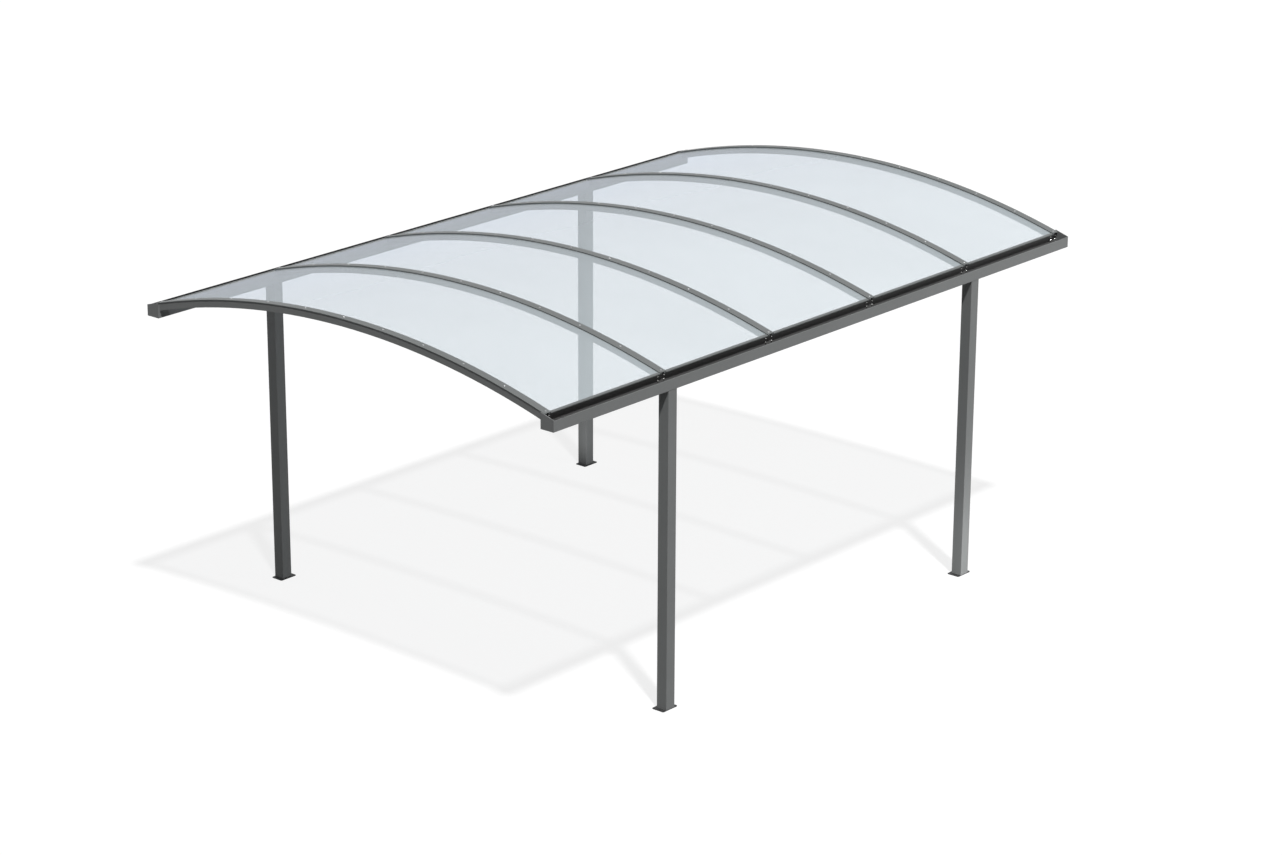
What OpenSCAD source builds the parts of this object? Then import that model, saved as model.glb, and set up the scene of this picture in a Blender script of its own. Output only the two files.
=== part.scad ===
// Free-standing carport with an arched clear roof: four posts, two gutters that serve as eave beams,
// six curved arches between them, and five clear sheets with edge trims, held down by clamp strips.
// The width runs along X, the length along Y with the drive-in end at -Y, and the floor is at Z = 0.

/* [Overall] */
// Length over the end caps of the gutters
total_length = 5000; // [4200:10:6000]
// Width over the outer faces of the gutters
total_width = 3340; // [2700:10:3700]
// Height from the floor to the underside of the gutters
eave_height = 1995; // [1850:5:2400]
// Height of the roof's top line above the gutters' underside, where it meets the plane of their outer faces
roof_foot = 70; // [62:1:84]
// Rise of the roof's top line from there to the ridge
roof_rise = 250; // [190:5:330]

/* [Posts] */
// Side of the square post tube
post_size = 75; // [60:1:90]
// Wall of the post tube
post_wall = 3; // [2:0.5:5]
// Outer corner radius of the post tube
post_corner = 2; // [1:0.5:8]
// Setback of the posts from the outer faces of the gutters
post_inset = 2; // [0:1:20]
// Thickness of the foot plate under each post
plate_t = 5; // [4:0.5:10]
// Reach of the foot plate past the post, to the front and to the back
plate_reach = 28; // [22:1:50]
// Reach of the foot plate past the post, towards the parking bay
plate_inner = 14; // [0:1:40]
// Corner radius of the foot plate
plate_corner = 8; // [3:1:12]
// Diameter of the anchor holes in the foot plate
anchor_d = 11; // [7:0.5:14]

/* [Gutters] */
// Width of the gutter
gutter_w = 98; // [80:1:130]
// Height of the gutter's outer wall
gutter_h = 68; // [56:1:110]
// Wall of the gutter profile
gutter_wall = 3; // [2:0.5:5]
// Width of the sloping seat on top of the gutter's inner wall
seat_w = 18; // [12:1:24]
// Thickness of the gutter's end cap
cap_t = 4; // [2:0.5:8]
// Depth of the plug that holds the end cap in the gutter
plug_depth = 10; // [6:1:20]
// Wall of that plug
plug_wall = 2; // [1.5:0.5:3]
// Height of the end cap's top edge above the roof's top line
cap_rise = 1; // [0.5:0.5:10]

/* [Arches] */
// Width of the arch tube
arch_w = 50; // [44:1:60]
// Depth of the arch tube, from its underside to the gaskets
arch_depth = 36; // [28:1:44]
// Wall of the arch tube
arch_wall = 2.5; // [2:0.5:4]
// Width of the screw channel along the top of the arch tube
channel_w = 6; // [4:0.5:8]
// Depth of the screw channel with its floor
channel_depth = 14; // [10:1:18]
// Chamfer on the long edges of arch tubes, clamp strips and gutters
edge_chamfer = 1; // [0.5:0.1:1.5]
// Clear gap between an end cap and the nearest clamp strip
end_gap = 6; // [3:1:25]

/* [Roof covering] */
// Thickness of the clear sheets
sheet_t = 4; // [3:0.5:6]
// Gap between neighbouring sheets, over the middle of an arch
sheet_gap = 20; // [14:1:24]
// Reach of the roof covering past the inner face of the gutter
eave_reach = 23; // [20:1:30]
// Width of the trim on the lower edge of each sheet
trim_w = 16; // [12:1:20]
// Thickness of that trim
trim_t = 1.5; // [1:0.1:2]
// Thickness of the rubber gaskets above and below the sheets
gasket_t = 2; // [1.5:0.5:3]
// Width of the rubber gaskets along the arches
gasket_w = 11; // [6:0.5:12]
// Width of the clamp strips
strip_w = 54; // [50:1:64]
// Thickness of the clamp strips
strip_t = 5; // [3:0.5:8]

/* [Hidden] */

arch_count = 6;
half_w = total_width / 2;
half_l = total_length / 2;

// Inner face of the gutter, where the arches butt against it, and the lower ends of strips and sheets
wall_x = half_w - gutter_w;
eave_x = wall_x + eave_reach;
sheet_x = eave_x - trim_t;
gutter_top_z = eave_height + gutter_h;
roof_foot_z = eave_height + roof_foot;

// The roof's layers are arcs about one axis, which lies below the floor and runs along Y
roof_r = (half_w * half_w + roof_rise * roof_rise) / (2 * roof_rise);
axis_z = roof_foot_z + roof_rise - roof_r;
strip_in_r = roof_r - strip_t;
sheet_out_r = strip_in_r - gasket_t;
sheet_in_r = sheet_out_r - sheet_t;
arch_out_r = sheet_in_r - gasket_t;
arch_in_r = arch_out_r - arch_depth;
sweep = 2 * asin(half_w / arch_in_r);
arc_segments = 720;
corner_segments = 48;

// Places along the length: the posts stand under the second arch from each end
end_arch_y = half_l - cap_t - end_gap - strip_w / 2;
pitch = 2 * end_arch_y / (arch_count - 1);
post_x = half_w - post_inset - post_size / 2;
post_y = end_arch_y - pitch;

// Gaskets sit under the outer part of each clamp strip, a little inside its edges
gasket_setback = 1;
lower_gasket_y = arch_w / 2 - gasket_setback - gasket_w;
upper_gasket_y = strip_w / 2 - gasket_setback - gasket_w;
bead_w = 12;

// Smallest corner radius inside a post tube
least_corner = 0.5;

coat = "dimgray";
dark_rubber = [0.08, 0.08, 0.08];
clear_sheet = [0.85, 0.89, 0.93, 0.5];

// Height of an arc of radius r at a distance x from the middle
function arc_z(r, x) = axis_z + sqrt(r * r - x * x);

// Place along the length of an arch, counted from the front
function arch_y(number) = -end_arch_y + (number - 1) * pitch;

// Turns a section, drawn as radius by length, into an arc across the width, and cuts its ends plumb
module across(cut_x) {
    reach = 2 * roof_r;
    intersection() {
        translate([0, 0, axis_z])
            rotate([90, 0, 180])
            rotate([0, 0, 90 - sweep / 2])
            rotate_extrude(angle = sweep, $fn = arc_segments)
            children();
        translate([-cut_x, -reach / 2, 0])
            cube([2 * cut_x, reach, reach]);
    }
}

// Rectangle between two radii with both of its outer corners chamfered
module crowned_bar(inner_r, outer_r, width, chamfer) {
    half = width / 2;
    polygon([
        [inner_r, -half],
        [inner_r, half],
        [outer_r - chamfer, half],
        [outer_r, half - chamfer],
        [outer_r, chamfer - half],
        [outer_r - chamfer, -half]
    ]);
}

// Rectangle with true arcs at its corners
module rounded_rectangle(size_x, size_y, radius) {
    inner_x = size_x / 2 - radius;
    inner_y = size_y / 2 - radius;
    square([size_x, 2 * inner_y], center = true);
    square([2 * inner_x, size_y], center = true);
    for (sx = [-1, 1], sy = [-1, 1])
        translate([sx * inner_x, sy * inner_y])
            circle(r = radius, $fn = corner_segments);
}

// Draws a part made for the right side on the right, side = 1, or on the left, side = -1
module on_side(side) {
    mirror([side < 0 ? 1 : 0, 0, 0]) children();
}

// Draws a part made for the front end at the front, end = -1, or at the rear, end = 1
module at_end(end) {
    mirror([0, end > 0 ? 1 : 0, 0]) children();
}

module foot_plate(side, end) {
    plate_x = post_size + plate_inner;
    plate_y = post_size + 2 * plate_reach;
    hole_y = (post_size + plate_reach) / 2;
    color(coat)
        on_side(side) at_end(end)
        translate([post_x - plate_inner / 2, -post_y, 0])
        linear_extrude(plate_t)
        difference() {
            rounded_rectangle(plate_x, plate_y, plate_corner);
            for (way = [-1, 1])
                translate([plate_inner / 2, way * hole_y])
                    circle(d = anchor_d, $fn = corner_segments);
        }
}

module post(side, end) {
    bore = post_size - 2 * post_wall;
    bore_corner = max(post_corner - post_wall, least_corner);
    color(coat)
        translate([side * post_x, end * post_y, plate_t])
        linear_extrude(eave_height - plate_t)
        difference() {
            rounded_rectangle(post_size, post_size, post_corner);
            rounded_rectangle(bore, bore, bore_corner);
        }
}

// Trough with a plain outer wall, and an inner wall whose sloping seat carries the lower edge of the sheets
module gutter(side) {
    outer_in_x = half_w - gutter_wall;
    wall_in_x = wall_x + gutter_wall;
    seat_x = wall_x + seat_w;
    floor_z = eave_height + gutter_wall;
    color(coat)
        on_side(side)
        translate([0, half_l - cap_t, 0])
        rotate([90, 0, 0])
        linear_extrude(total_length - 2 * cap_t)
        polygon([
            [wall_x + edge_chamfer, eave_height],
            [half_w - edge_chamfer, eave_height],
            [half_w, eave_height + edge_chamfer],
            [half_w, gutter_top_z - edge_chamfer],
            [half_w - edge_chamfer, gutter_top_z],
            [outer_in_x, gutter_top_z],
            [outer_in_x, floor_z],
            [wall_in_x, floor_z],
            [wall_in_x, arc_z(arch_out_r, wall_in_x) - gutter_wall],
            [seat_x, arc_z(arch_out_r, seat_x) - gutter_wall],
            [seat_x, arc_z(arch_out_r, seat_x)],
            [wall_x, arc_z(arch_out_r, wall_x)],
            [wall_x, eave_height + edge_chamfer]
        ]);
}

// Plate over the end of a gutter, with a slanted top edge and a U-shaped plug that sits in the trough
module end_cap(side, end) {
    outer_top_z = max(gutter_top_z, roof_foot_z) + cap_rise;
    plug_w = gutter_w - 2 * gutter_wall;
    plug_h = gutter_h / 2;
    color(coat)
        on_side(side) at_end(end)
        translate([0, -half_l + cap_t, 0])
        rotate([90, 0, 0]) {
            linear_extrude(cap_t)
                polygon([
                    [wall_x, eave_height],
                    [half_w, eave_height],
                    [half_w, outer_top_z],
                    [wall_x, arc_z(roof_r, wall_x) + cap_rise]
                ]);
            translate([wall_x + gutter_wall, eave_height + gutter_wall, -plug_depth])
                linear_extrude(plug_depth)
                difference() {
                    square([plug_w, plug_h]);
                    translate([plug_wall, plug_wall])
                        square([plug_w - 2 * plug_wall, plug_h]);
                }
        }
}

// Curved tube with a screw channel along its top, whose plumb ends butt against the walls of both gutters
module arch(number) {
    bore_low_r = arch_in_r + arch_wall;
    bore_high_r = arch_out_r - arch_wall;
    bore_y = arch_w / 2 - arch_wall;
    block_r = arch_out_r - channel_depth;
    block_y = channel_w / 2 + arch_wall;
    color(coat)
        translate([0, arch_y(number), 0])
        across(wall_x)
        difference() {
            crowned_bar(arch_in_r, arch_out_r, arch_w, edge_chamfer);
            translate([block_r + arch_wall, -channel_w / 2])
                square([channel_depth, channel_w]);
            polygon([
                [bore_low_r, -bore_y],
                [bore_low_r, bore_y],
                [bore_high_r, bore_y],
                [bore_high_r, block_y],
                [block_r, block_y],
                [block_r, -block_y],
                [bore_high_r, -block_y],
                [bore_high_r, -bore_y]
            ]);
        }
}

// Rubber under and over the sheet edges on each side of an arch that carries a sheet
module arch_gasket(number) {
    first = number > 1 ? -1 : 1;
    last = number < arch_count ? 1 : -1;
    color(dark_rubber)
        translate([0, arch_y(number), 0])
        for (way = [first : 2 : last]) {
            across(wall_x)
                translate([arch_out_r, way > 0 ? lower_gasket_y : -lower_gasket_y - gasket_w])
                square([gasket_t, gasket_w]);
            across(eave_x)
                translate([sheet_out_r, way > 0 ? upper_gasket_y : -upper_gasket_y - gasket_w])
                square([gasket_t, gasket_w]);
        }
}

// Rubber on the seat of a gutter, under the lower edge of the sheets
module eave_gasket(side) {
    seat_x = wall_x + seat_w;
    color(dark_rubber)
        on_side(side)
        translate([0, end_arch_y, 0])
        rotate([90, 0, 0])
        linear_extrude(2 * end_arch_y)
        polygon([
            [wall_x, arc_z(arch_out_r, wall_x)],
            [seat_x, arc_z(arch_out_r, seat_x)],
            [seat_x, arc_z(sheet_in_r, seat_x)],
            [wall_x, arc_z(sheet_in_r, wall_x)]
        ]);
}

// Packer that closes the free side of an end arch, in place of a sheet edge
module edge_bead(end) {
    color(coat)
        at_end(end)
        translate([0, -end_arch_y - arch_w / 2, 0])
        across(wall_x)
        translate([arch_out_r, 0])
        square([strip_in_r - arch_out_r, bead_w]);
}

module roof_sheet(number) {
    color(clear_sheet)
        translate([0, arch_y(number) + sheet_gap / 2, 0])
        across(sheet_x)
        translate([sheet_in_r, 0])
        square([sheet_t, pitch - sheet_gap]);
}

// Angle that covers the lower edge of a sheet between two clamp strips
module eave_trim(number, side) {
    trim_out_r = sheet_out_r + trim_t;
    flange_x = eave_x - trim_w;
    color(coat)
        on_side(side)
        translate([0, arch_y(number + 1) - strip_w / 2, 0])
        rotate([90, 0, 0])
        linear_extrude(pitch - strip_w)
        polygon([
            [flange_x, arc_z(sheet_out_r, flange_x)],
            [sheet_x, arc_z(sheet_out_r, sheet_x)],
            [sheet_x, arc_z(sheet_in_r, sheet_x)],
            [eave_x, arc_z(sheet_in_r, eave_x)],
            [eave_x, arc_z(trim_out_r, eave_x)],
            [flange_x, arc_z(trim_out_r, flange_x)]
        ]);
}

// Flat bar with chamfered edges and a groove underneath, over the gap between two sheets
module clamp_strip(number) {
    groove_depth = strip_t / 2;
    color(coat)
        translate([0, arch_y(number), 0])
        across(eave_x)
        difference() {
            crowned_bar(strip_in_r, roof_r, strip_w, edge_chamfer);
            translate([strip_in_r - groove_depth, -sheet_gap / 2])
                square([2 * groove_depth, sheet_gap]);
        }
}

foot_plate(-1, -1);  // foot_plate_front_left
foot_plate(1, -1);  // foot_plate_front_right
foot_plate(-1, 1);  // foot_plate_rear_left
foot_plate(1, 1);  // foot_plate_rear_right
post(-1, -1);  // post_front_left
post(1, -1);  // post_front_right
post(-1, 1);  // post_rear_left
post(1, 1);  // post_rear_right
gutter(-1);  // gutter_left
gutter(1);  // gutter_right
end_cap(-1, -1);  // end_cap_front_left
end_cap(1, -1);  // end_cap_front_right
end_cap(-1, 1);  // end_cap_rear_left
end_cap(1, 1);  // end_cap_rear_right
arch(1);  // arch_1
arch(2);  // arch_2
arch(3);  // arch_3
arch(4);  // arch_4
arch(5);  // arch_5
arch(6);  // arch_6
arch_gasket(1);  // arch_gasket_1
arch_gasket(2);  // arch_gasket_2
arch_gasket(3);  // arch_gasket_3
arch_gasket(4);  // arch_gasket_4
arch_gasket(5);  // arch_gasket_5
arch_gasket(6);  // arch_gasket_6
eave_gasket(-1);  // eave_gasket_left
eave_gasket(1);  // eave_gasket_right
edge_bead(-1);  // edge_bead_front
edge_bead(1);  // edge_bead_rear
roof_sheet(1);  // roof_sheet_1
roof_sheet(2);  // roof_sheet_2
roof_sheet(3);  // roof_sheet_3
roof_sheet(4);  // roof_sheet_4
roof_sheet(5);  // roof_sheet_5
eave_trim(1, -1);  // eave_trim_1_left
eave_trim(2, -1);  // eave_trim_2_left
eave_trim(3, -1);  // eave_trim_3_left
eave_trim(4, -1);  // eave_trim_4_left
eave_trim(5, -1);  // eave_trim_5_left
eave_trim(1, 1);  // eave_trim_1_right
eave_trim(2, 1);  // eave_trim_2_right
eave_trim(3, 1);  // eave_trim_3_right
eave_trim(4, 1);  // eave_trim_4_right
eave_trim(5, 1);  // eave_trim_5_right
clamp_strip(1);  // clamp_strip_1
clamp_strip(2);  // clamp_strip_2
clamp_strip(3);  // clamp_strip_3
clamp_strip(4);  // clamp_strip_4
clamp_strip(5);  // clamp_strip_5
clamp_strip(6);  // clamp_strip_6
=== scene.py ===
# %% [markdown]
# # A carport with an arched clear roof
# The object is an open frame of grey powder-coated aluminium: four posts, two gutters that double as
# eave beams, and six curved arches. Five clear sheets lie over the arches, held down by clamp strips,
# with a slim grey trim along their lower edges.
# The exact solids come in as a fixed frame, in metres, with the drive-in end at -Y and the floor at
# Z = 0. This script leaves them where they are and adds what bare solids lack: finishes, screws, light
# and a camera.

# %% Load the frame
import math

import bmesh
import bpy
from mathutils import Matrix, Vector


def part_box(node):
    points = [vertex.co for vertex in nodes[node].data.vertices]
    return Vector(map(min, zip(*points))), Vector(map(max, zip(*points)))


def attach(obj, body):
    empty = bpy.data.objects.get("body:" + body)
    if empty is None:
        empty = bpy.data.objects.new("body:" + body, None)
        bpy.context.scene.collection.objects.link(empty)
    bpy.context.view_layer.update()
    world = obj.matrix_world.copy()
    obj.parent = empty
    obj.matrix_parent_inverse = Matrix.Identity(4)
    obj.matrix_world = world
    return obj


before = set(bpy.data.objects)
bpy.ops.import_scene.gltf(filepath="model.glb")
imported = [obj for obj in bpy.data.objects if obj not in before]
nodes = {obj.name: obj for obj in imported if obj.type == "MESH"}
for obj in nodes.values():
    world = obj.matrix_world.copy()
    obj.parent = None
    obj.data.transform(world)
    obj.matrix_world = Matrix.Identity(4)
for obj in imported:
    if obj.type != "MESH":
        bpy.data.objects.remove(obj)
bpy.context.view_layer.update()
print("nodes in the frame:", len(nodes))

# %% [markdown]
# ## Measuring the roof
# Every layer of the roof is an arc about one axis that runs along Y, far below the floor. A clamp
# strip's crown and its end are two points on the top arc, and two points are enough to find the radius
# of a symmetrical arc. Measuring the strip keeps the screws on it even if the frame changes.

# %% Measure the roof arc
MM = 0.001
ON_EDGE = 0.1 * MM

strip_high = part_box("clamp_strip_1")[1]
strip_points = [vertex.co for vertex in nodes["clamp_strip_1"].data.vertices]
eave_x = strip_high.x
crown_z = strip_high.z
end_top_z = max(point.z for point in strip_points if point.x > eave_x - ON_EDGE)
drop = crown_z - end_top_z
roof_radius = (eave_x ** 2 + drop ** 2) / (2 * drop)
axis_z = crown_z - roof_radius
print(f"roof radius {roof_radius:.3f} m, axis at {axis_z:.3f} m")

# %% Measure the gutter and the arches
ARCHES = range(1, 7)
GUTTER_WALL = 3 * MM

gutter_low, gutter_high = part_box("gutter_right")
arch_y = {i: sum(corner.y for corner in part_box(f"arch_{i}")) / 2 for i in ARCHES}
print(f"gutter from {gutter_low.x:.3f} to {gutter_high.x:.3f} m across")
print("arches at", [round(y, 3) for y in arch_y.values()])

# %% [markdown]
# ## Camera
# The camera stands high at the front right, far away, with a long lens: the object's long edges hardly
# converge. Place and angles were worked out from corners of the object whose sizes are known. The
# camera's own axes are built from azimuth, elevation and roll, so each angle stays a plain number. A
# small shift of the lens sets the framing, with the object a little below the middle of the picture.

# %% Camera
CAMERA_PLACE = Vector((14.2816, -16.4098, 8.4217))
CAMERA_AZIMUTH = math.radians(40.825)
CAMERA_ELEVATION = math.radians(20.113)
CAMERA_ROLL = math.radians(0.220)
CAMERA_LENS_MM = 100.645
CAMERA_SENSOR_MM = 36
CAMERA_SHIFT = (0.0050, 0.0636)
CAMERA_REACH = 500


def camera_turn(azimuth, elevation, roll):
    """Rotation of a camera that looks at the object from this azimuth and elevation."""
    level = math.cos(elevation)
    back = Vector((math.sin(azimuth) * level, -math.cos(azimuth) * level, math.sin(elevation)))
    right = Vector((0, 0, 1)).cross(back).normalized()
    turned = Matrix((right, back.cross(right), back)).transposed()
    return turned @ Matrix.Rotation(roll, 3, "Z")


camera_data = bpy.data.cameras.new("camera")
camera_data.lens = CAMERA_LENS_MM
camera_data.sensor_width = CAMERA_SENSOR_MM
camera_data.shift_x, camera_data.shift_y = CAMERA_SHIFT
camera_data.clip_end = CAMERA_REACH
camera = bpy.data.objects.new("camera", camera_data)
camera.matrix_world = (
    Matrix.Translation(CAMERA_PLACE)
    @ camera_turn(CAMERA_AZIMUTH, CAMERA_ELEVATION, CAMERA_ROLL).to_4x4()
)
bpy.context.scene.collection.objects.link(camera)
bpy.context.scene.camera = camera
print("camera distance", round(CAMERA_PLACE.length, 2), "m")

# %% [markdown]
# ## Tools for materials
# A material is a small graph of nodes. Two helpers keep the graphs short: one turns a colour as a
# designer writes it, a hex value, into the linear numbers that the renderer mixes, and one adds a node
# with its settings and links. Every pattern uses object coordinates. The frame's objects sit at the
# origin, so these are metres in the object.

# %% Helpers for colours and nodes


def linear(hex_colour):
    """Linear RGBA of an sRGB hex colour such as "7a7c7d"."""
    channels = [int(hex_colour[k:k + 2], 16) / 255 for k in (0, 2, 4)]
    return tuple(c / 12.92 if c <= 0.04045 else ((c + 0.055) / 1.055) ** 2.4 for c in channels) + (1.0,)


def add_node(tree, kind, inputs=None, ramp=None, **settings):
    """Adds one node: settings are its properties, inputs are values or the sockets that feed it."""
    node = tree.nodes.new(kind)
    for name, value in settings.items():
        setattr(node, name, value)
    for name, value in (inputs or {}).items():
        if isinstance(value, bpy.types.NodeSocket):
            tree.links.new(value, node.inputs[name])
        else:
            node.inputs[name].default_value = value
    if ramp:
        for stop, (position, hex_colour) in zip(node.color_ramp.elements, ramp):
            stop.position = position
            stop.color = linear(hex_colour)
    return node


def new_material(name):
    """An empty node material, its node tree and the object coordinates for its patterns."""
    material = bpy.data.materials.new(name)
    material.use_nodes = True
    tree = material.node_tree
    tree.nodes.clear()
    return material, tree, add_node(tree, "ShaderNodeTexCoord").outputs["Object"]


def per_mm(size_mm):
    """Noise scale that gives features of about this size, for coordinates in metres."""
    return 1 / (size_mm * MM)


print("mid grey 808080 is linear", round(linear("808080")[0], 3))

# %% [markdown]
# ## Painted shade in the troughs
# The inside of a gutter's trough is painted dark, as painted shade for the deep shade that falls in it:
# a lighter grey on the wall that carries the arches, where less of the lamps' light reaches, and a
# darker one on the floor and the outer wall, so that the trough looks evenly dark. A second material on
# some faces would change the exact mesh, so the gutter's one material finds the inside by its place
# instead: three tests on the coordinates, multiplied, are 1 only there. The painted shade's colour
# changes a little way out from the inner wall.

# %% Painted shade in the troughs


def painted_trough_shade(tree, place, wall_shade_hex, deep_shade_hex):
    """A mask of the faces inside a gutter's trough, found by their place, and its painted shade's
    colour.
    """
    half_wall = GUTTER_WALL / 2
    axes = add_node(tree, "ShaderNodeSeparateXYZ", {"Vector": place}).outputs
    across = add_node(tree, "ShaderNodeMath", {0: axes["X"]}, operation="ABSOLUTE").outputs[0]
    tests = (
        (across, "GREATER_THAN", gutter_low.x + half_wall),
        (across, "LESS_THAN", gutter_high.x - half_wall),
        (axes["Z"], "GREATER_THAN", gutter_low.z + half_wall),
    )
    mask = None
    for value, operation, limit in tests:
        test = add_node(tree, "ShaderNodeMath", {0: value, 1: limit}, operation=operation).outputs[0]
        if mask is None:
            mask = test
        else:
            pair = {0: mask, 1: test}
            mask = add_node(tree, "ShaderNodeMath", pair, operation="MULTIPLY").outputs[0]
    wall_face = gutter_low.x + GUTTER_WALL
    depth = add_node(
        tree,
        "ShaderNodeMapRange",
        {"Value": across, "From Min": wall_face, "From Max": wall_face + GUTTER_WALL},
    )
    colour = add_node(
        tree,
        "ShaderNodeValToRGB",
        {"Fac": depth.outputs["Result"]},
        ramp=((0.2, wall_shade_hex), (0.8, deep_shade_hex)),
    )
    return mask, colour.outputs["Color"]


trough_width = gutter_high.x - gutter_low.x - 2 * GUTTER_WALL
print(f"trough {trough_width / MM:.0f} mm wide between its walls")

# %% [markdown]
# ## Powder-coated aluminium
# The frame is extruded aluminium with a satin powder coat in mid grey. Powder melts into a skin with a
# fine orange-peel ripple about two millimetres wide, which spreads highlights. From this far that ripple
# can't be seen, so it is drawn eight times as coarse. A slow drift of tone stands for the small
# differences between profiles. The clamp strips are a little darker, and the foot plates much darker.

# %% Powder coat
RIPPLE_MM = 16
DRIFT_MM = 420
COAT_SPECULAR = 0.12
COAT_ROUGHNESS = (0.42, 0.54)


def powder_coat(name, dark_hex, light_hex, trough_shade=None):
    """Satin powder coat that drifts between two close greys, with painted shade in a trough if asked."""
    material, tree, place = new_material(name)
    drift = add_node(
        tree, "ShaderNodeTexNoise", {"Vector": place, "Scale": per_mm(DRIFT_MM), "Detail": 4.0}
    )
    tone = add_node(
        tree,
        "ShaderNodeValToRGB",
        {"Fac": drift.outputs["Fac"]},
        ramp=((0.3, dark_hex), (0.7, light_hex)),
    ).outputs["Color"]
    # painted shade inside the trough, much darker than the coat
    if trough_shade:
        mask, colour = painted_trough_shade(tree, place, *trough_shade)
        painted_shade_inputs = {0: mask, 6: tone, 7: colour}
        tone = add_node(tree, "ShaderNodeMix", painted_shade_inputs, data_type="RGBA").outputs[2]
    ripple = add_node(
        tree, "ShaderNodeTexNoise", {"Vector": place, "Scale": per_mm(RIPPLE_MM), "Detail": 2.0}
    ).outputs["Fac"]
    sharpest, dullest = COAT_ROUGHNESS
    gloss = add_node(
        tree, "ShaderNodeMapRange", {"Value": ripple, "To Min": sharpest, "To Max": dullest}
    )
    skin = add_node(tree, "ShaderNodeBump", {"Height": ripple, "Strength": 0.06, "Distance": 0.4 * MM})
    coat = add_node(
        tree,
        "ShaderNodeBsdfPrincipled",
        {
            "Base Color": tone,
            "Roughness": gloss.outputs["Result"],
            "Specular IOR Level": COAT_SPECULAR,
            "Normal": skin.outputs["Normal"],
        },
    )
    add_node(tree, "ShaderNodeOutputMaterial", {"Surface": coat.outputs["BSDF"]})
    return material


frame_coat = powder_coat("powder_coated_aluminium", "868888", "8a8c8c")
# the gutters' troughs get painted shade: 707070 on the inner wall, 363636 on the floor and outer wall
gutter_coat = powder_coat("powder_coated_gutter", "868888", "8a8c8c", trough_shade=("707070", "363636"))
strip_coat = powder_coat("powder_coated_clamp_strip", "6f7272", "747777")
plate_coat = powder_coat("powder_coated_foot_plate", "3a3a3b", "3f3f40")
print("powder coats made for frame, gutters, strips and foot plates")

# %% [markdown]
# ## Rubber gaskets
# The gaskets are extruded EPDM rubber, a dull near-black with a fine matt grain from the die. They show
# as thin dark lines beside the strips, so the grain is drawn coarser than it is and the surface stays
# rough.

# %% Rubber
RUBBER_GRAIN_MM = 6


def gasket_rubber():
    """Extruded rubber: nearly black, matt, with a slight grain."""
    material, tree, place = new_material("extruded_rubber")
    grain = add_node(
        tree, "ShaderNodeTexNoise", {"Vector": place, "Scale": per_mm(RUBBER_GRAIN_MM)}
    ).outputs["Fac"]
    tone = add_node(
        tree, "ShaderNodeValToRGB", {"Fac": grain}, ramp=((0.35, "1d1d1e"), (0.65, "2a2a2b"))
    )
    matt = add_node(tree, "ShaderNodeMapRange", {"Value": grain, "To Min": 0.6, "To Max": 0.8})
    skin = add_node(tree, "ShaderNodeBump", {"Height": grain, "Strength": 0.1, "Distance": 0.3 * MM})
    rubber = add_node(
        tree,
        "ShaderNodeBsdfPrincipled",
        {
            "Base Color": tone.outputs["Color"],
            "Roughness": matt.outputs["Result"],
            "Specular IOR Level": 0.25,
            "Normal": skin.outputs["Normal"],
        },
    )
    add_node(tree, "ShaderNodeOutputMaterial", {"Surface": rubber.outputs["BSDF"]})
    return material


rubber = gasket_rubber()
print("rubber made:", rubber.name)

# %% [markdown]
# ## Clear polycarbonate
# The sheets are extruded clear polycarbonate. They show what is behind them at about a third of its
# contrast, under a faint blue-white veil. A pure glass would have no veil, and tracing its two faces is
# slow and noisy, so the sheet is a pale glossy skin that is partly see-through. Slow clouds in the veil
# stand for the slight haze that differs over a large sheet. The plastic inside absorbs some red and
# green and hardly any blue, so where the eye looks along the sheet, through more of it, it is bluer.

# %% Polycarbonate
CLOUD_MM = 900
SHEET_ALPHA = 0.403
SHEET_IOR = 1.585
SHEET_TINT = "87b0e8"
TINT_DENSITY = 10


def clear_polycarbonate():
    """Extruded clear sheet: a bluish veil, partly see-through, with a soft gloss."""
    material, tree, place = new_material("clear_polycarbonate")
    cloud = add_node(
        tree, "ShaderNodeTexNoise", {"Vector": place, "Scale": per_mm(CLOUD_MM), "Detail": 2.0}
    ).outputs["Fac"]
    veil = add_node(
        tree, "ShaderNodeValToRGB", {"Fac": cloud}, ramp=((0.3, "d2dbde"), (0.7, "d8e1e4"))
    )
    gloss = add_node(tree, "ShaderNodeMapRange", {"Value": cloud, "To Min": 0.1, "To Max": 0.16})
    sheet = add_node(
        tree,
        "ShaderNodeBsdfPrincipled",
        {
            "Base Color": veil.outputs["Color"],
            "Roughness": gloss.outputs["Result"],
            "IOR": SHEET_IOR,
            "Specular IOR Level": 0.1,
            "Alpha": SHEET_ALPHA,
        },
    )
    tint = add_node(
        tree, "ShaderNodeVolumeAbsorption", {"Color": linear(SHEET_TINT), "Density": TINT_DENSITY}
    )
    surfaces = {"Surface": sheet.outputs["BSDF"], "Volume": tint.outputs["Volume"]}
    add_node(tree, "ShaderNodeOutputMaterial", surfaces)
    return material


sheet_plastic = clear_polycarbonate()
print("both faces of a sheet let through", round((1 - SHEET_ALPHA) ** 2, 2), "of what is behind it")

# %% [markdown]
# ## Stainless steel
# The screws are cold-formed stainless steel, tumbled clean: a satin grey metal with small changes of
# gloss from head to head. Those on top of the roof, in the key light, are painted darker as painted
# shade, and those in the shaded troughs are painted lighter as painted light; the trough screws are also
# glossier. A metal keeps the default index of refraction, and only colour and roughness are matched.

# %% Stainless steel
TUMBLE_MM = 3


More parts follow.
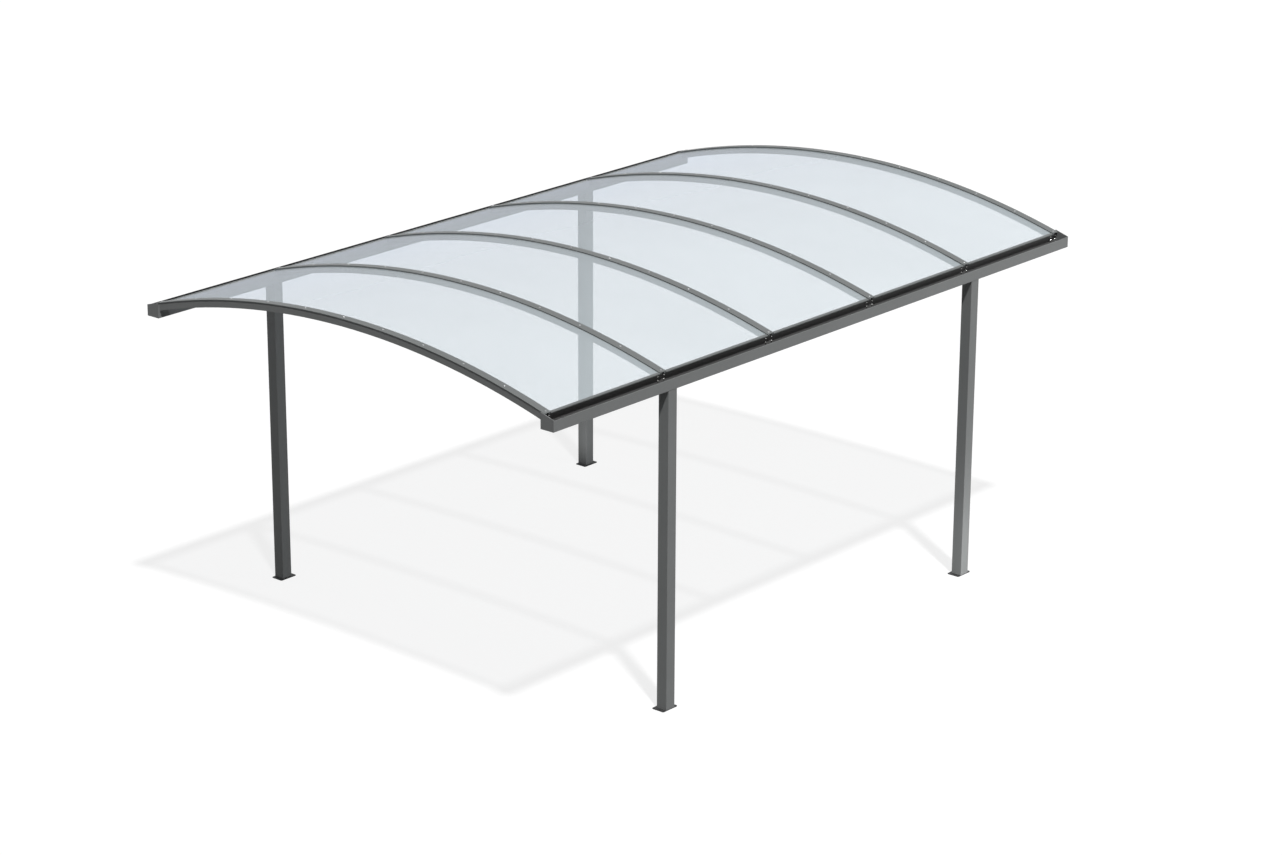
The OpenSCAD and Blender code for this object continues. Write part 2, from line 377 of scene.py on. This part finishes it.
def stainless(name, dark_hex, light_hex, sharpest, dullest):
    """Screw steel whose gloss varies from one tumbling mark to the next."""
    material, tree, place = new_material(name)
    marks = add_node(
        tree, "ShaderNodeTexNoise", {"Vector": place, "Scale": per_mm(TUMBLE_MM), "Detail": 3.0}
    ).outputs["Fac"]
    tone = add_node(
        tree, "ShaderNodeValToRGB", {"Fac": marks}, ramp=((0.3, dark_hex), (0.7, light_hex))
    )
    gloss = add_node(
        tree, "ShaderNodeMapRange", {"Value": marks, "To Min": sharpest, "To Max": dullest}
    )
    steel = add_node(
        tree,
        "ShaderNodeBsdfPrincipled",
        {
            "Base Color": tone.outputs["Color"],
            "Metallic": 1.0,
            "Roughness": gloss.outputs["Result"],
        },
    )
    add_node(tree, "ShaderNodeOutputMaterial", {"Surface": steel.outputs["BSDF"]})
    return material


# one steel in two tones: darker on the lit roof as painted shade, lighter in the shaded troughs as
# painted light
roof_steel_painted_darker = stainless("roof_stainless_steel_painted_darker", "a8a9aa", "b8b9ba", 0.26, 0.42)
trough_steel_painted_lighter = stainless("trough_stainless_steel_painted_lighter", "dcdcda", "e8e8e6", 0.18, 0.30)
print("steels made:", roof_steel_painted_darker.name, "and", trough_steel_painted_lighter.name)

# %% [markdown]
# ## Finishes on the frame
# Each piece of the frame keeps its exact mesh and only gets its finish. The start of a piece's name says
# what it is. Where two starts fit, the longer one counts: an arch gasket is rubber, not an arch.

# %% Assign the finishes
FINISHES = {
    "foot_plate_": plate_coat,
    "post_": frame_coat,
    "gutter_": gutter_coat,
    "end_cap_": frame_coat,
    "arch_": frame_coat,
    "edge_bead_": frame_coat,
    "clamp_strip_": strip_coat,
    "eave_trim_": strip_coat,
    "arch_gasket_": rubber,
    "eave_gasket_": rubber,
    "roof_sheet_": sheet_plastic,
}
pieces_of = {start: 0 for start in FINISHES}
for name, piece in nodes.items():
    kind = max((start for start in FINISHES if name.startswith(start)), key=len)
    for material_slot in piece.material_slots:
        material_slot.material = FINISHES[kind]
    pieces_of[kind] += 1
for kind, count in pieces_of.items():
    print(f"{kind}: {count} pieces in {FINISHES[kind].name}")

# %% [markdown]
# ## Turned screws
# A screw head is a turned shape: a short outline swept about an axis. Each point of the outline is a
# ring with a radius and a height, and a ring is round, or lobed where the socket for the bit begins. One
# lathe function builds every head from rings, with closed ends, and places it by a matrix.

# %% Lathe for screw heads
HEAD_SEGMENTS = 24


def round_ring(angle):
    """The same reach at every angle."""
    return 1.0


def lobed_ring(angle):
    """Six shallow lobes, as in the socket for a six-lobe bit."""
    return 1 + 0.12 * math.cos(6 * angle)


def add_turned(bm, outline, place):
    """Adds a closed turned solid; outline rows are radius in mm, height in mm and the ring's shape."""
    rings = []
    for radius, height, shape in outline:
        ring = []
        for k in range(HEAD_SEGMENTS):
            angle = 2 * math.pi * k / HEAD_SEGMENTS
            reach = radius * shape(angle) * MM
            point = Vector((reach * math.cos(angle), reach * math.sin(angle), height * MM))
            ring.append(bm.verts.new(place @ point))
        rings.append(ring)
    for lower, upper in zip(rings, rings[1:]):
        for k in range(HEAD_SEGMENTS):
            after = (k + 1) % HEAD_SEGMENTS
            bm.faces.new((lower[k], lower[after], upper[after], upper[k]))
    bm.faces.new(tuple(reversed(rings[0])))
    bm.faces.new(tuple(rings[-1]))


print("head segments:", HEAD_SEGMENTS)

# %% [markdown]
# ## Pieces that ride with the frame
# All heads of one strip or one trough become one piece. Steep edges stay sharp, and the rest is shaded
# smooth, so a dome looks round and the rim of its socket looks cut. Riding on the root body means that
# the piece stays with the frame wherever that is put.

# %% Make a piece
SHARP_ANGLE = math.radians(35)


def add_piece(name, bm, material):
    """Turns a bmesh into a piece that rides with the frame."""
    mesh = bpy.data.meshes.new(name)
    bm.normal_update()
    bm.to_mesh(mesh)
    bm.free()
    mesh.materials.append(material)
    mesh.set_sharp_from_angle(angle=SHARP_ANGLE)
    piece = bpy.data.objects.new(name, mesh)
    bpy.context.scene.collection.objects.link(piece)
    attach(piece, "root")
    print(f"{name}: {len(mesh.polygons)} faces")


print(f"edges of more than {math.degrees(SHARP_ANGLE):.0f} degrees stay sharp")

# %% [markdown]
# ## Screws on the clamp strips
# Eleven pan-head screws hold each strip down, evenly spaced along the arc, the last one close to the
# strip's end. A broad steel washer spreads the load. Every screw stands square to the arc, so its matrix
# is turned by the angle at which it sits.

# %% Strip screws
STRIP_SCREW_GAPS = 10
END_MARGIN = 18 * MM
PAN_HEAD = (
    (6.5, 0.0, round_ring),
    (6.5, 1.0, round_ring),
    (6.1, 1.4, round_ring),
    (4.5, 1.5, round_ring),
    (4.5, 2.9, round_ring),
    (4.0, 3.9, round_ring),
    (3.0, 4.6, round_ring),
    (2.1, 4.8, lobed_ring),
    (1.9, 3.1, lobed_ring),
)

end_turn = math.asin(eave_x / roof_radius) - END_MARGIN / roof_radius
for i in ARCHES:
    bm = bmesh.new()
    for k in range(STRIP_SCREW_GAPS + 1):
        turn = end_turn * (2 * k / STRIP_SCREW_GAPS - 1)
        on_arc = Matrix.Translation((0, arch_y[i], axis_z)) @ Matrix.Rotation(turn, 4, "Y")
        add_turned(bm, PAN_HEAD, on_arc @ Matrix.Translation((0, 0, roof_radius)))
    add_piece(f"strip_screws_{i}", bm, roof_steel_painted_darker)
print(f"strip screws {2 * end_turn * roof_radius / STRIP_SCREW_GAPS:.3f} m apart")

# %% [markdown]
# ## Screws in the troughs
# Each arch is fixed from inside the trough: four button-head screws pass through the gutter's inner wall
# into the arch tube. Their domes catch the light, and their steel is painted lighter as painted light,
# so they are small bright dots in the trough, which is darkened with painted shade, in two rows of two
# at every arch.

# %% Trough screws
TROUGH_ROW_Z = tuple(gutter_low.z + rise * MM for rise in (39, 63))
TROUGH_HALF_SPREAD = 27 * MM
BUTTON_HEAD = (
    (5.4, 0.0, round_ring),
    (5.4, 0.8, round_ring),
    (5.2, 2.0, round_ring),
    (4.7, 3.2, round_ring),
    (3.9, 4.2, round_ring),
    (2.8, 4.9, round_ring),
    (1.8, 5.2, lobed_ring),
    (1.5, 3.8, lobed_ring),
)

for side, side_name in ((-1, "left"), (1, "right")):
    bm = bmesh.new()
    outward = Matrix.Rotation(side * math.pi / 2, 4, "Y")
    for i in ARCHES:
        for z in TROUGH_ROW_Z:
            for y in (arch_y[i] - TROUGH_HALF_SPREAD, arch_y[i] + TROUGH_HALF_SPREAD):
                seat = Matrix.Translation((side * (gutter_low.x + GUTTER_WALL), y, z))
                add_turned(bm, BUTTON_HEAD, seat @ outward)
    add_piece(f"trough_screws_{side_name}", bm, trough_steel_painted_lighter)

# %% [markdown]
# ## Floor
# The object stands on a plain pale floor with nothing around it. To the camera, and in reflections, the
# floor is an even white that keeps the object's soft shadow. To light that bounces it is much darker, or
# its glow would flatten the shading of the posts. The Light Path node tells these rays apart.

# %% Floor material
FLOOR_WHITE = 1.02
FLOOR_SHADED = 0.2
FLOOR_BOUNCE = 0.085


def seen_directly(tree):
    """1 for rays from the camera, from a reflection or through glass, and 0 for light that bounces."""
    rays = add_node(tree, "ShaderNodeLightPath").outputs
    seen = rays["Is Camera Ray"]
    for kind in ("Is Glossy Ray", "Is Transmission Ray"):
        either = {0: seen, 1: rays[kind]}
        seen = add_node(tree, "ShaderNodeMath", either, operation="MAXIMUM").outputs[0]
    return seen


floor_material, floor_tree, _ = new_material("pale_studio_floor")
seen = seen_directly(floor_tree)
bounce = add_node(
    floor_tree, "ShaderNodeMapRange", {"Value": seen, "To Min": FLOOR_BOUNCE, "To Max": FLOOR_SHADED}
)
base = add_node(
    floor_tree,
    "ShaderNodeMapRange",
    {"Value": seen, "To Min": 0.0, "To Max": FLOOR_WHITE - FLOOR_SHADED},
)
shaded = add_node(floor_tree, "ShaderNodeBsdfDiffuse", {"Color": bounce.outputs["Result"]})
even = add_node(floor_tree, "ShaderNodeEmission", {"Strength": base.outputs["Result"]})
both = add_node(
    floor_tree, "ShaderNodeAddShader", {0: shaded.outputs["BSDF"], 1: even.outputs["Emission"]}
)
add_node(floor_tree, "ShaderNodeOutputMaterial", {"Surface": both.outputs["Shader"]})
print("floor finish made:", floor_material.name)

# %% Floor
FLOOR_HALF = 150

bm = bmesh.new()
bmesh.ops.create_grid(bm, x_segments=1, y_segments=1, size=FLOOR_HALF)
floor_mesh = bpy.data.meshes.new("floor")
bm.to_mesh(floor_mesh)
bm.free()
floor_mesh.materials.append(floor_material)
floor = bpy.data.objects.new("floor", floor_mesh)
bpy.context.scene.collection.objects.link(floor)
print("floor", 2 * FLOOR_HALF, "m square")

# %% [markdown]
# ## Surroundings
# The surroundings work the same way as the floor: plain white where they are seen, and a weak, even glow
# as light. The glow fills the shadows a little without washing out the key lamp.

# %% World
SKY_STRENGTH = 0.088

world = bpy.data.worlds.new("studio")
bpy.context.scene.world = world
world.use_nodes = True
world.node_tree.nodes.clear()
glow = add_node(
    world.node_tree,
    "ShaderNodeMapRange",
    {"Value": seen_directly(world.node_tree), "To Min": SKY_STRENGTH, "To Max": 1.0},
)
surround = add_node(
    world.node_tree,
    "ShaderNodeBackground",
    {"Color": linear("ffffff"), "Strength": glow.outputs["Result"]},
)
add_node(world.node_tree, "ShaderNodeOutputWorld", {"Surface": surround.outputs["Background"]})
print("sky glow", SKY_STRENGTH)

# %% [markdown]
# ## Key and fills
# One key lamp shines from the upper right, a little from the front: tops are brightest, right-hand
# faces next, front faces darkest, and the gutters shade the heads of the posts. It is far away, so it
# falls evenly, and just wide enough for soft edges. Its level is such that a face square to the lamps
# shows its colour about as written. Two weak, nearly level fills, from the left and the rear, light only
# the sides that face away from the key. Only the key leaves glints: mirrored in the sheets, a level fill
# would turn them white at low angles.

# %% Sun lamps
# A row is a name, the direction to the lamp, its strength and its width in degrees.
SUNS = (
    ("key", (0.383, -0.236, 0.893), 3.25, 3),
    ("left fill", (-1.0, 0.0, 0.05), 0.8, 20),
    ("rear fill", (0.0, 1.0, 0.05), 0.8, 20),
)

for name, towards, strength, softness in SUNS:
    sun_data = bpy.data.lights.new(name, "SUN")
    sun_data.energy = strength
    sun_data.angle = math.radians(softness)
    sun = bpy.data.objects.new(name, sun_data)
    sun.rotation_euler = Vector(towards).to_track_quat("Z", "Y").to_euler()
    sun.visible_glossy = name == "key"
    bpy.context.scene.collection.objects.link(sun)
    elevation = math.degrees(math.asin(Vector(towards).normalized().z))
    print(f"{name} lamp {elevation:.1f} degrees above the floor")

# %% [markdown]
# ## Softboxes
# A softbox is a square lamp with a soft edge to its light. A large one at the rear right lifts the faces
# turned to it, and two small ones brighten the feet of the rear posts. The one at the left lies flat on
# the floor, so that it leaves no bright patch there. None of them is seen or mirrored.

# %% Softboxes
# A row is a name, the lamp's place, the point that it faces, its power in watts and its side in metres.
SOFTBOXES = (
    ("rear softbox", (6.6, 4.0, 3.0), (1.6, 0.5, 1.8), 80, 2.5),
    ("low softbox", (2.25, 1.22, 0.12), (1.65, 1.45, 0.12), 3.6, 0.3),
    ("floor softbox", (-1.42, 1.12, 0.01), (-1.42, 1.12, 1.0), 1.9, 0.16),
)

for name, place, aim, power, side in SOFTBOXES:
    softbox_data = bpy.data.lights.new(name, "AREA")
    softbox_data.energy = power
    softbox_data.size = side
    softbox = bpy.data.objects.new(name, softbox_data)
    softbox.location = place
    softbox.rotation_euler = (Vector(place) - Vector(aim)).to_track_quat("Z", "Y").to_euler()
    softbox.visible_camera = False
    softbox.visible_glossy = False
    bpy.context.scene.collection.objects.link(softbox)
    print(f"{name} {(Vector(aim) - Vector(place)).length:.2f} m from what it lights")

# %% [markdown]
# The Standard view shows colours as they are written, without a film curve.

# %% View transform
bpy.context.scene.view_settings.view_transform = "Standard"
